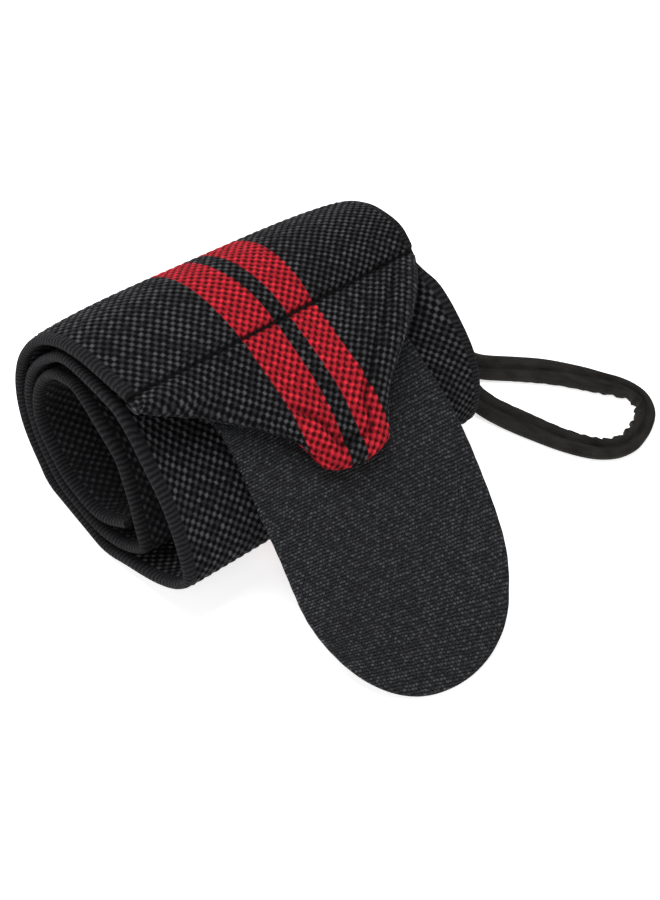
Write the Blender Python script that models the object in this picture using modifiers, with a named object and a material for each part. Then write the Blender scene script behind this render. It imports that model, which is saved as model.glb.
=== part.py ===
"""Wrist wrap, rolled up and lying on a surface, with its hook tab and its thumb loop.

The roll's axis runs along X. The pointed end lies on top, and the tab slopes down to -Y.
"""

import math
from collections import namedtuple

import bmesh
import bpy
from mathutils import Vector

# The band
BAND_WIDTH = 0.078
BAND_THICKNESS = 0.0018
LAYER_CLEARANCE = 0.0003
POINT_LENGTH = 0.027
POINT_THICKNESS = 0.0032

# The roll, over its near end
ROLL_DEPTH = 0.0522
ROLL_HEIGHT = 0.040
ROLL_CENTRE = (0.53, 0.42)

# The hook tab
TAB_WIDTH = 0.047
TAB_THICKNESS = 0.0014

# The thumb loop
STRAP_WIDTH = 0.0060
STRAP_THICKNESS = 0.0026
LOOP_REACH = 0.044
PIECE_CLEARANCE = 0.0003

# Resolution
ROWS_PER_SECTION = 4
BAND_COLUMNS = 8
POINT_ROWS_PER_SECTION = 3
TAB_END_ROWS = 9
TAB_COLUMNS = 6
LOOP_ROWS_PER_POINT = 3

LAYER_PITCH = BAND_THICKNESS + LAYER_CLEARANCE

# Outer face of the band at both ends of the roll, from the point's seam to the inner end.
# layers: layers of band that lie outside this one. Places are shares of the roll's depth and
# height. dip: share of the height by which the middle of the width sinks towards the centre.
Section = namedtuple("Section", "layers near_y near_z far_y far_z dip")
ROLL_SECTIONS = [
    Section(0.0, 0.470, 1.005, 0.625, 0.750, 0.000),
    Section(0.0, 0.595, 0.965, 0.710, 0.800, -0.010),
    Section(0.0, 0.730, 0.920, 0.795, 0.790, -0.024),
    Section(0.0, 0.850, 0.845, 0.890, 0.740, -0.034),
    Section(0.0, 0.950, 0.715, 0.990, 0.625, -0.036),
    Section(0.0, 1.000, 0.525, 1.055, 0.465, -0.032),
    Section(0.0, 0.985, 0.345, 1.050, 0.300, -0.020),
    Section(0.0, 0.910, 0.180, 0.980, 0.155, -0.008),
    Section(0.0, 0.785, 0.060, 0.850, 0.050, 0.000),
    Section(0.0, 0.680, 0.000, 0.710, 0.000, 0.000),
    Section(0.0, 0.410, 0.000, 0.430, 0.000, 0.000),
    Section(0.0, 0.265, 0.080, 0.280, 0.025, 0.000),
    Section(0.0, 0.125, 0.180, 0.170, 0.085, 0.000),
    Section(0.0, 0.035, 0.285, 0.115, 0.175, 0.000),
    Section(0.0, 0.000, 0.400, 0.100, 0.265, 0.000),
    Section(0.0, 0.065, 0.530, 0.130, 0.410, 0.030),
    Section(0.0, 0.170, 0.665, 0.210, 0.545, 0.070),
    Section(0.0, 0.305, 0.775, 0.330, 0.640, 0.100),
    Section(0.5, 0.435, 0.890, 0.465, 0.730, 0.120),
    Section(1.0, 0.550, 0.940, 0.595, 0.745, 0.115),
    Section(1.0, 0.800, 0.870, 0.845, 0.730, 0.050),
    Section(1.0, 0.910, 0.740, 0.955, 0.635, 0.005),
    Section(1.0, 0.980, 0.535, 1.035, 0.460, -0.015),
    Section(1.0, 0.970, 0.340, 1.025, 0.305, -0.012),
    Section(1.0, 0.895, 0.195, 0.960, 0.180, 0.000),
    Section(1.0, 0.785, 0.085, 0.850, 0.080, 0.000),
    Section(1.0, 0.655, 0.015, 0.710, 0.015, 0.000),
    Section(1.0, 0.440, 0.015, 0.460, 0.015, 0.000),
    Section(1.0, 0.300, 0.085, 0.330, 0.060, 0.000),
    Section(1.0, 0.210, 0.185, 0.240, 0.145, 0.000),
    Section(1.2, 0.170, 0.265, 0.195, 0.235, 0.000),
    Section(1.5, 0.210, 0.370, 0.210, 0.340, 0.000),
    Section(1.8, 0.300, 0.580, 0.280, 0.480, 0.020),
    Section(2.0, 0.430, 0.745, 0.400, 0.625, 0.050),
    Section(2.0, 0.725, 0.825, 0.770, 0.680, 0.055),
    Section(2.0, 0.845, 0.770, 0.890, 0.625, 0.015),
    Section(2.0, 0.930, 0.670, 0.975, 0.525, 0.000),
    Section(2.0, 0.975, 0.500, 1.025, 0.400, 0.000),
    Section(2.0, 0.960, 0.325, 1.010, 0.280, 0.000),
    Section(2.0, 0.900, 0.205, 0.945, 0.190, 0.000),
    Section(2.0, 0.790, 0.105, 0.845, 0.110, 0.000),
    Section(2.0, 0.665, 0.035, 0.700, 0.040, 0.000),
    Section(2.0, 0.475, 0.025, 0.525, 0.025, 0.000),
    Section(2.0, 0.345, 0.105, 0.395, 0.070, 0.000),
    Section(2.0, 0.245, 0.240, 0.300, 0.165, 0.000),
]

# The pointed end, from its tip back to the seam. width: share of the band's width. out and
# down: shares of the point's length from the seam's middle. skew and tilt: how far forward
# and down the far edge lies of the near one, and lift: how far both edges rise, as shares
# of the band's width.
PointRow = namedtuple("PointRow", "width out down skew tilt lift")
POINT_SECTIONS = [
    PointRow(0.05, 0.930, 0.310, 0.00, 0.00, 0.000),
    PointRow(0.16, 0.890, 0.275, 0.00, 0.00, 0.000),
    PointRow(0.25, 0.800, 0.230, 0.02, 0.00, 0.006),
    PointRow(0.42, 0.620, 0.150, 0.05, 0.00, 0.014),
    PointRow(0.63, 0.420, 0.090, 0.08, 0.03, 0.016),
    PointRow(0.84, 0.210, 0.040, 0.10, 0.08, 0.010),
]

# The tab's middle line, from under the seam to its tip. aside: share of the tab's width.
# y and z: shares of the roll's depth and height. bank: degrees that the far side is lower.
TabRow = namedtuple("TabRow", "aside y z bank")
TAB_SECTIONS = [
    TabRow(0.000, 0.485, 0.732, 3.0),
    TabRow(0.030, 0.318, 0.680, 3.5),
    TabRow(0.034, 0.065, 0.540, 3.0),
    TabRow(0.010, -0.203, 0.370, 3.0),
    TabRow(-0.040, -0.460, 0.190, 4.0),
    TabRow(-0.117, -0.678, 0.022, 5.0),
]

# The thumb loop's middle line, from one end in the roll round to the other. out: share of the
# loop's reach from the roll's far end. y: share of the roll's depth. raised: 0 on the surface
# and 1 on the inner end of the band.
LoopPoint = namedtuple("LoopPoint", "out y raised")
LOOP_ROUTE = [
    LoopPoint(-0.610, 0.685, 1.00),
    LoopPoint(-0.400, 0.685, 1.00),
    LoopPoint(-0.230, 0.685, 1.00),
    LoopPoint(-0.070, 0.688, 1.00),
    LoopPoint(0.075, 0.665, 1.00),
    LoopPoint(0.165, 0.590, 0.95),
    LoopPoint(0.225, 0.470, 0.75),
    LoopPoint(0.275, 0.365, 0.45),
    LoopPoint(0.385, 0.275, 0.12),
    LoopPoint(0.500, 0.240, 0.00),
    LoopPoint(0.670, 0.140, 0.00),
    LoopPoint(0.805, 0.040, 0.00),
    LoopPoint(0.895, -0.050, 0.00),
    LoopPoint(0.925, -0.110, 0.00),
    LoopPoint(0.905, -0.163, 0.00),
    LoopPoint(0.855, -0.200, 0.00),
    LoopPoint(0.780, -0.230, 0.00),
    LoopPoint(0.680, -0.243, 0.00),
    LoopPoint(0.590, -0.230, 0.00),
    LoopPoint(0.500, -0.186, 0.00),
    LoopPoint(0.420, -0.113, 0.00),
    LoopPoint(0.340, -0.017, 0.00),
    LoopPoint(0.265, 0.075, 0.02),
    LoopPoint(0.190, 0.155, 0.18),
    LoopPoint(0.150, 0.240, 0.50),
    LoopPoint(0.122, 0.345, 0.85),
    LoopPoint(0.075, 0.445, 1.00),
    LoopPoint(0.000, 0.522, 1.00),
    LoopPoint(-0.110, 0.545, 1.00),
    LoopPoint(-0.230, 0.545, 1.00),
    LoopPoint(-0.400, 0.545, 1.00),
    LoopPoint(-0.610, 0.545, 1.00),
]

# Slack under the innermost layer, as a share of the roll's height
SEAT_SLACK = 0.060

# Colours and finish
BAND_BLACK = (0.012, 0.012, 0.013)
TAB_BLACK = (0.020, 0.020, 0.022)
LOOP_BLACK = (0.006, 0.006, 0.007)


def clear_objects():
    for obj in list(bpy.data.objects):
        bpy.data.objects.remove(obj, do_unlink=True)


def new_collection(name):
    collection = bpy.data.collections.new(name)
    bpy.context.scene.collection.children.link(collection)
    return collection


def cloth_material(name, colour, roughness):
    material = bpy.data.materials.new(name)
    material.use_nodes = True
    shader = material.node_tree.nodes["Principled BSDF"]
    shader.inputs["Base Color"].default_value = (*colour, 1.0)
    shader.inputs["Roughness"].default_value = roughness
    shader.inputs["Metallic"].default_value = 0.0
    return material


def spline(rows, steps):
    """Reads a smooth curve through the rows, each a Vector, at so many steps a row."""
    result = []
    last = len(rows) - 1
    for index in range(last):
        before = rows[max(index - 1, 0)]
        start = rows[index]
        end = rows[index + 1]
        after = rows[min(index + 2, last)]
        for step in range(steps):
            t = step / steps
            curve = (
                start * 2.0
                + (end - before) * t
                + (before * 2.0 - start * 5.0 + end * 4.0 - after) * t * t
                + (start * 3.0 - before - end * 3.0 + after) * t * t * t
            )
            result.append(curve * 0.5)
    result.append(rows[last].copy())
    return result


def inward(point):
    """The direction from a point of the roll's section to its centre."""
    centre = Vector((ROLL_CENTRE[0] * ROLL_DEPTH, ROLL_CENTRE[1] * ROLL_HEIGHT))
    return (centre - point).normalized()


def roll_point(y_share, z_share, layers):
    """A point of the roll's section, moved in towards its centre by the layers outside it."""
    point = Vector((y_share * ROLL_DEPTH, max(z_share, 0.0) * ROLL_HEIGHT))
    return point + inward(point) * layers * LAYER_PITCH


def roll_rows():
    """Rows of points across the band's outer face, round the roll."""
    rows = []
    for values in spline([Vector(section) for section in ROLL_SECTIONS], ROWS_PER_SECTION):
        section = Section(*values)
        near = roll_point(section.near_y, section.near_z, section.layers)
        far = roll_point(section.far_y, section.far_z, section.layers)
        row = []
        for column in range(BAND_COLUMNS + 1):
            across = column / BAND_COLUMNS
            aside = 2.0 * across - 1.0
            place = near.lerp(far, across)
            sink = section.dip * ROLL_HEIGHT * (1.0 - aside**4)
            place += inward(place) * sink
            row.append(Vector((aside * BAND_WIDTH / 2, place.x, place.y)))
        rows.append(row)
    return rows


def point_rows(seam):
    """Rows of points across the pointed end, from its tip to the row before the seam."""
    middle = (seam[0] + seam[-1]) / 2
    step = seam[-1] - seam[0]
    at_seam = PointRow(1.0, 0.0, 0.0, step.y / BAND_WIDTH, -step.z / BAND_WIDTH, 0.0)
    sections = [Vector(section) for section in POINT_SECTIONS + [at_seam]]
    rows = []
    for values in spline(sections, POINT_ROWS_PER_SECTION)[:-1]:
        section = PointRow(*values)
        row = []
        for column in range(BAND_COLUMNS + 1):
            side = 2.0 * column / BAND_COLUMNS - 1.0
            aside = side * section.width * BAND_WIDTH / 2
            y = middle.y - section.out * POINT_LENGTH + section.skew * aside
            z = middle.z - section.down * POINT_LENGTH - section.tilt * aside
            lift = section.lift * BAND_WIDTH * side * side
            row.append(Vector((aside, y, z + lift)))
        rows.append(row)
    return rows


def sheet_object(name, rows, collection, material):
    """An open surface through rows of points, as many in each."""
    mesh = bpy.data.meshes.new(name)
    shape = bmesh.new()
    grid = [[shape.verts.new(point) for point in row] for row in rows]
    for upper, lower in zip(grid, grid[1:]):
        for column in range(len(upper) - 1):
            shape.faces.new((upper[column], upper[column + 1], lower[column + 1], lower[column]))
    shape.to_mesh(mesh)
    shape.free()
    mesh.materials.append(material)
    obj = bpy.data.objects.new(name, mesh)
    collection.objects.link(obj)
    return obj


def thicken(obj, thickness, offset, group=""):
    solid = obj.modifiers.new("Thickness", "SOLIDIFY")
    solid.thickness = thickness
    solid.offset = offset
    solid.use_even_offset = True
    solid.vertex_group = group
    bpy.context.view_layer.objects.active = obj
    obj.data.shade_smooth()
    obj.data.set_sharp_from_angle(angle=math.radians(50))


def make_band(collection):
    """The band is one sheet, rolled up, and of double thickness where its end is folded."""
    roll = roll_rows()
    point = point_rows(roll[0])
    material = cloth_material("band cloth", BAND_BLACK, 0.85)
    band = sheet_object("wrap_band", point + roll, collection, material)
    fold = band.vertex_groups.new(name="Fold")
    columns = BAND_COLUMNS + 1
    folded = len(point) * columns
    fold.add(range(folded), 1.0, "REPLACE")
    single = BAND_THICKNESS / POINT_THICKNESS
    fold.add(range(folded, len(band.data.vertices)), single, "REPLACE")
    thicken(band, POINT_THICKNESS, -1.0, fold.name)
    return band


def tab_half_width(along, length):
    """Half the tab's width so far along it, with a half-round end."""
    into_end = max(along - (length - TAB_WIDTH / 2), 0.0)
    return math.sqrt(max((TAB_WIDTH / 2) ** 2 - into_end**2, 0.0))


def make_tab(collection):
    """The tab is a strip along its middle line, with a half-round end."""
    centres = []
    for values in spline([Vector(section) for section in TAB_SECTIONS], 8):
        section = TabRow(*values)
        place = Vector((section.aside * TAB_WIDTH, section.y * ROLL_DEPTH, section.z * ROLL_HEIGHT))
        centres.append((place, section.bank))
    lengths = [0.0]
    for (start, _), (end, _) in zip(centres, centres[1:]):
        lengths.append(lengths[-1] + (end - start).length)
    total = lengths[-1]
    straight = [share * (total - TAB_WIDTH / 2) / 14 for share in range(14)]
    widest_turn = math.radians(86)
    turns = [widest_turn * row / TAB_END_ROWS for row in range(TAB_END_ROWS + 1)]
    stations = straight + [total - TAB_WIDTH / 2 * (1.0 - math.sin(turn)) for turn in turns]
    rows = []
    for along in stations:
        index = max(i for i, value in enumerate(lengths[:-1]) if value <= along)
        part = (along - lengths[index]) / (lengths[index + 1] - lengths[index])
        (start, start_bank), (end, end_bank) = centres[index], centres[index + 1]
        heading = (end - start).normalized()
        bank = math.radians(start_bank + (end_bank - start_bank) * part)
        level = Vector((-heading.y, heading.x, 0.0)).normalized()
        upward = heading.cross(level)
        across = level * math.cos(bank) - upward * math.sin(bank)
        half = tab_half_width(along, total)
        middle = start.lerp(end, part)
        sides = [2.0 * column / TAB_COLUMNS - 1.0 for column in range(TAB_COLUMNS + 1)]
        rows.append([middle + across * half * side for side in sides])
    material = cloth_material("hook tab cloth", TAB_BLACK, 0.8)
    tab = sheet_object("hook_tab", rows, collection, material)
    thicken(tab, TAB_THICKNESS, 0.0)
    return tab


def make_loop(collection):
    """The thumb loop is a flat strap that lies on the surface and runs back into the roll."""
    floor = STRAP_THICKNESS / 2
    seat = 2 * LAYER_PITCH + BAND_THICKNESS + PIECE_CLEARANCE + SEAT_SLACK * ROLL_HEIGHT + floor
    centres = []
    for values in spline([Vector(point) for point in LOOP_ROUTE], LOOP_ROWS_PER_POINT):
        point = LoopPoint(*values)
        raised = max(point.raised, 0.0)
        x = BAND_WIDTH / 2 + point.out * LOOP_REACH
        centres.append(Vector((x, point.y * ROLL_DEPTH, floor + raised * (seat - floor))))
    rows = []
    last = len(centres) - 1
    for index, centre in enumerate(centres):
        heading = centres[min(index + 1, last)] - centres[max(index - 1, 0)]
        across = Vector((-heading.y, heading.x, 0.0)).normalized() * STRAP_WIDTH / 2
        rows.append([centre - across, centre + across])
    material = cloth_material("thumb loop elastic", LOOP_BLACK, 0.7)
    loop = sheet_object("thumb_loop", rows, collection, material)
    thicken(loop, STRAP_THICKNESS, 0.0)
    return loop


def centre_on_origin(parts, root):
    """Moves the parts' parent so that the middle of their base is the origin."""
    graph = bpy.context.evaluated_depsgraph_get()
    corners = []
    for part in parts:
        shape = part.evaluated_get(graph)
        mesh = shape.to_mesh()
        corners += [shape.matrix_world @ vertex.co for vertex in mesh.vertices]
        shape.to_mesh_clear()
    low = [min(corner[axis] for corner in corners) for axis in range(3)]
    high = [max(corner[axis] for corner in corners) for axis in range(3)]
    root.location = (-(low[0] + high[0]) / 2, -(low[1] + high[1]) / 2, -low[2])


def main():
    clear_objects()
    collection = new_collection("wrist wrap")
    root = bpy.data.objects.new("wrist_wrap", None)
    collection.objects.link(root)
    parts = [make_band(collection), make_tab(collection), make_loop(collection)]
    for part in parts:
        part.parent = root
    bpy.context.view_layer.update()
    centre_on_origin(parts, root)
    bpy.context.view_layer.update()


main()
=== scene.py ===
"""Looks of the rolled wrist wrap: woven band with two red stripes, hook tab and thumb loop.

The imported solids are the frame. Each cloth piece here lies in the space of its solid.
"""

import math

import bmesh
import bpy
import numpy as np
from bpy.props import FloatProperty, FloatVectorProperty, PointerProperty
from mathutils import Matrix, Vector


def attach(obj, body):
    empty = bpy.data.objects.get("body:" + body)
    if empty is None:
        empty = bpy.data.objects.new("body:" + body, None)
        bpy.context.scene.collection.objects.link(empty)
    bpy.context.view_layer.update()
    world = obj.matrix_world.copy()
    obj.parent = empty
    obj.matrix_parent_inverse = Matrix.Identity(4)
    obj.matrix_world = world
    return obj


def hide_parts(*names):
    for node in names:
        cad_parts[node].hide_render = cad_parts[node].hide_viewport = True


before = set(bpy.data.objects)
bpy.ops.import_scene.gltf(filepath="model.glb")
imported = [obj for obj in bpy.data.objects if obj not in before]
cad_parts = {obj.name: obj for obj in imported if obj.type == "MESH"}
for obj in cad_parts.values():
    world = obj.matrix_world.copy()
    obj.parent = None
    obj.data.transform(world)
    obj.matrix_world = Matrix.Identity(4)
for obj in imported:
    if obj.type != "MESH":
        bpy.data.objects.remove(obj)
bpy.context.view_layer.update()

bl_info = {
    "name": "Wrist wrap looks",
    "version": (1, 0, 0),
    "blender": (4, 5, 0),
    "location": "View3D > Sidebar > Wrist wrap",
    "description": "Dresses the rolled wrist wrap in woven cloth, seams, hooks and a thumb loop",
    "category": "Object",
}

MM = 0.001
TAU = 2.0 * math.pi

# Where the near end of the roll starts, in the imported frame
ROLL_START = Vector((-0.021486, -0.009470, 0.0))

# The roll's measures, as in the solids
ROLL_DEPTH = 0.0522
ROLL_HEIGHT = 0.040
ROLL_CENTRE = (0.53, 0.42)
LAYER_PITCH = 0.0021
SEAT_HEIGHT = 0.0098

# Outer face of the band round the roll, from the point's seam to the inner end:
# layers outside, near end y and z, far end y and z, and how far the middle sinks, as shares
ROLL_SECTIONS = [
    (0.0, 0.47, 1.005, 0.625, 0.75, 0.0),
    (0.0, 0.595, 0.965, 0.71, 0.8, -0.01),
    (0.0, 0.73, 0.92, 0.795, 0.79, -0.024),
    (0.0, 0.85, 0.845, 0.89, 0.74, -0.034),
    (0.0, 0.95, 0.715, 0.99, 0.625, -0.036),
    (0.0, 1.0, 0.525, 1.055, 0.465, -0.032),
    (0.0, 0.985, 0.345, 1.05, 0.3, -0.02),
    (0.0, 0.91, 0.18, 0.98, 0.155, -0.008),
    (0.0, 0.785, 0.06, 0.85, 0.05, 0.0),
    (0.0, 0.68, 0.0, 0.71, 0.0, 0.0),
    (0.0, 0.41, 0.0, 0.43, 0.0, 0.0),
    (0.0, 0.265, 0.08, 0.28, 0.025, 0.0),
    (0.0, 0.125, 0.18, 0.17, 0.085, 0.0),
    (0.0, 0.035, 0.285, 0.115, 0.175, 0.0),
    (0.0, 0.0, 0.4, 0.1, 0.265, 0.0),
    (0.0, 0.065, 0.53, 0.13, 0.41, 0.03),
    (0.0, 0.17, 0.665, 0.21, 0.545, 0.07),
    (0.0, 0.305, 0.775, 0.33, 0.64, 0.1),
    (0.5, 0.435, 0.89, 0.465, 0.73, 0.12),
    (1.0, 0.55, 0.94, 0.595, 0.745, 0.115),
    (1.0, 0.8, 0.87, 0.845, 0.73, 0.05),
    (1.0, 0.91, 0.74, 0.955, 0.635, 0.005),
    (1.0, 0.98, 0.535, 1.035, 0.46, -0.015),
    (1.0, 0.97, 0.34, 1.025, 0.305, -0.012),
    (1.0, 0.895, 0.195, 0.96, 0.18, 0.0),
    (1.0, 0.785, 0.085, 0.85, 0.08, 0.0),
    (1.0, 0.655, 0.015, 0.71, 0.015, 0.0),
    (1.0, 0.44, 0.015, 0.46, 0.015, 0.0),
    (1.0, 0.3, 0.085, 0.33, 0.06, 0.0),
    (1.0, 0.21, 0.185, 0.24, 0.145, 0.0),
    (1.2, 0.17, 0.265, 0.195, 0.235, 0.0),
    (1.5, 0.21, 0.37, 0.21, 0.34, 0.0),
    (1.8, 0.3, 0.58, 0.28, 0.48, 0.02),
    (2.0, 0.43, 0.745, 0.4, 0.625, 0.05),
    (2.0, 0.725, 0.825, 0.77, 0.68, 0.055),
    (2.0, 0.845, 0.77, 0.89, 0.625, 0.015),
    (2.0, 0.93, 0.67, 0.975, 0.525, 0.0),
    (2.0, 0.975, 0.5, 1.025, 0.4, 0.0),
    (2.0, 0.96, 0.325, 1.01, 0.28, 0.0),
    (2.0, 0.9, 0.205, 0.945, 0.19, 0.0),
    (2.0, 0.79, 0.105, 0.845, 0.11, 0.0),
    (2.0, 0.665, 0.035, 0.7, 0.04, 0.0),
    (2.0, 0.475, 0.025, 0.525, 0.025, 0.0),
    (2.0, 0.345, 0.105, 0.395, 0.07, 0.0),
    (2.0, 0.245, 0.24, 0.3, 0.165, 0.0),
]

# Places across the band where each red stripe starts and ends, in millimetres
STRIPES = (-10.9, -3.1, 1.0, 8.6)

# How many repeats of the weave from the seam the painted shade on the roll's inner turns begins, and
# is at its full
INNER_TURNS_SHADE = (92.0, 120.0)

# Where the columns lie on the round sides of the band and of the tab
BAND_SIDE = [0.0, 0.00006, 0.00022, 0.00048, 0.00085]
TAB_SIDE = [0.0, 0.00005, 0.00018, 0.0004]

# The folded point, from its tip to the seam: width, out, down, skew, tilt, lift, as shares
POINT_LENGTH = 0.027
POINT_SECTIONS = [
    (0.05, 1.045, 0.375, 0.0, 0.0, 0.0),
    (0.14, 1.022, 0.357, 0.0, 0.0, 0.0),
    (0.2, 0.97, 0.325, 0.0, 0.0, 0.003),
    (0.24, 0.86, 0.265, 0.0, 0.0, 0.006),
    (0.3, 0.74, 0.2, 0.01, 0.0, 0.01),
    (0.45, 0.57, 0.13, 0.02, 0.0, 0.014),
    (0.64, 0.385, 0.08, 0.04, 0.03, 0.016),
    (0.84, 0.19, 0.036, 0.07, 0.08, 0.01),
]

# The point's near corner keeps the band's full width as far as the first share of the point's
# length and has lost it at the second, and it curls up
CORNER_OUT = (0.215, 0.322)
CORNER_CURL = 0.0028

# How deep the sewn lines lie in the cloth, and how far the point's rim stands up
SEAM_DEPTH = 0.0006
RIM_HEIGHT = 0.0006

# Lengths along the band from its seam: its weave shows up to the first and from the second to
# the third, and is raised there. The rows of the two hidden stretches lie further apart.
WEAVE_SHOWS = (0.058, 0.096, 0.146)
HIDDEN_GAPS = (0.0016, 0.0017)

# The stitches: from one to the next, their length, and how deep they sit
STITCH_PITCH = 0.00255
STITCH_LENGTH = 0.0019
STITCH_SINK = 0.00048

# Where the loose threads start, and how many there are
THREADS_AT = (-0.0368, 0.0232, 0.0392)
THREAD_COUNT = 5

# The tab's middle line from under the seam to its tip: aside, y, z as shares, bank in degrees
TAB_SECTIONS = [
    (0.0, 0.485, 0.732, 3.0),
    (0.03, 0.318, 0.68, 3.5),
    (0.034, 0.065, 0.54, 3.0),
    (0.01, -0.203, 0.37, 3.0),
    (-0.04, -0.46, 0.19, 4.0),
    (-0.117, -0.678, 0.022, 5.0),
]

# The tab's upper face over its middle line, the drop of its end to the surface, and its rows' gap
TAB_FACE = 0.0007
TAB_DROOP = 0.00068
TAB_STEP = 0.0011

# The hooks start where the tab leaves the roll, stay inside its rim, and are sunk into its base
HOOKS_FROM_Y = 0.004
HOOKS_RIM = 0.0016
HOOKS_SINK = 0.00005

# The thumb loop's middle line: reach out of the roll, y as a share, and how far raised
LOOP_REACH = 0.044
LOOP_ROWS = 380
LOOP_SIDES = 44
GATHER_PITCH = 0.0030
LOOP_ROUTE = [
    (-0.61, 0.685, 1.0), (-0.4, 0.685, 1.0), (-0.23, 0.685, 1.0), (-0.07, 0.68, 1.0),
    (0.02, 0.655, 1.0), (0.095, 0.6, 0.88), (0.155, 0.54, 0.6), (0.21, 0.478, 0.34),
    (0.265, 0.42, 0.15), (0.325, 0.365, 0.04), (0.385, 0.322, 0.0), (0.516, 0.252, 0.0),
    (0.64, 0.18, 0.0), (0.76, 0.092, 0.0), (0.838, 0.022, 0.0), (0.888, -0.024, 0.0),
    (0.918, -0.068, 0.0), (0.926, -0.112, 0.0), (0.896, -0.16, 0.0), (0.835, -0.196, 0.0),
    (0.77, -0.219, 0.0), (0.695, -0.232, 0.0), (0.605, -0.22, 0.0), (0.514, -0.174, 0.0),
    (0.42, -0.09, 0.0), (0.34, 0.01, 0.0), (0.277, 0.1, 0.0), (0.23, 0.175, 0.03),
    (0.203, 0.24, 0.1), (0.181, 0.302, 0.28), (0.154, 0.362, 0.58), (0.115, 0.422, 0.88),
    (0.06, 0.48, 1.0), (0.0, 0.515, 1.0),
    (-0.11, 0.545, 1.0), (-0.23, 0.545, 1.0), (-0.4, 0.545, 1.0), (-0.61, 0.545, 1.0),
]

# The camera, at the photo's angle
CAMERA_PLACE = (-0.240686, -0.137970, 0.3201)
CAMERA_RIGHT = (0.738026, -0.625639, 0.252775)
CAMERA_UP = (0.387335, 0.699538, 0.600515)
CAMERA_AHEAD = (0.552531, 0.345288, -0.758608)
CAMERA_LENS = 87.65

# What the lights point at
LIT_PLACE = Vector((0.0, 0.0, 0.02))


def length(name, description, default):
    """A size that a user can change."""
    return FloatProperty(name=name, description=description, default=default, unit="LENGTH")


def tint(name, description, default):
    """A colour that a user can change."""
    return FloatVectorProperty(
        name=name, description=description, default=default, subtype="COLOR")


class WrapSizes(bpy.types.PropertyGroup):
    band_width: length("Band width", "Width of the woven band", 0.078)
    band_thickness: length("Band thickness", "Thickness of one layer of the band", 0.0018)
    point_thickness: length("Point thickness", "Thickness of the folded point", 0.0032)
    pitch_across: length("Pitch across", "One repeat of the weave across the band", 0.00195)
    pitch_along: length("Pitch along", "One repeat of the weave along the band", 0.00177)
    weave_height: length("Weave height", "Height of a raised thread over the middle", 0.00019)
    selvedge_width: length("Selvedge width", "Width of the band's ribbed edge", 0.0021)
    seam_inset: length("Seam inset", "From the point's folded edge to its seam", 0.0048)
    tab_width: length("Tab width", "Width of the hook tab", 0.047)
    tab_thickness: length("Tab thickness", "Thickness of the tab's woven base", 0.0009)
    hook_pitch: length("Hook pitch", "From one hook to the next", 0.0013)
    strap_width: length("Strap width", "Width of the thumb loop's strap", 0.0060)
    strap_thickness: length("Strap thickness", "Thickness of the loop's strap", 0.0026)


class WrapColours(bpy.types.PropertyGroup):
    band_black: tint("Band black", "The band's raised threads", (0.034, 0.034, 0.038))
    band_red: tint("Stripe red", "The stripes' raised threads", (0.52, 0.018, 0.031))
    tab_black: tint("Tab black", "Woven back of the hook tab", (0.030, 0.031, 0.034))
    loop_black: tint("Loop black", "Elastic of the thumb loop", (0.024, 0.022, 0.020))
    thread_black: tint("Thread black", "Sewing thread", (0.006, 0.006, 0.007))


def sizes():
    return bpy.context.scene.wrap_sizes


def colours():
    return bpy.context.scene.wrap_colours


class Signal:
    """One value in a material. Python's operators on it add Math nodes."""

    def __init__(self, bench, socket):
        self.bench = bench
        self.socket = socket

    def __add__(self, other):
        return self.bench.math("ADD", self, other)

    __radd__ = __add__

    def __sub__(self, other):
        return self.bench.math("SUBTRACT", self, other)

    def __rsub__(self, other):
        return self.bench.math("SUBTRACT", other, self)

    def __mul__(self, other):
        return self.bench.math("MULTIPLY", self, other)


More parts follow.
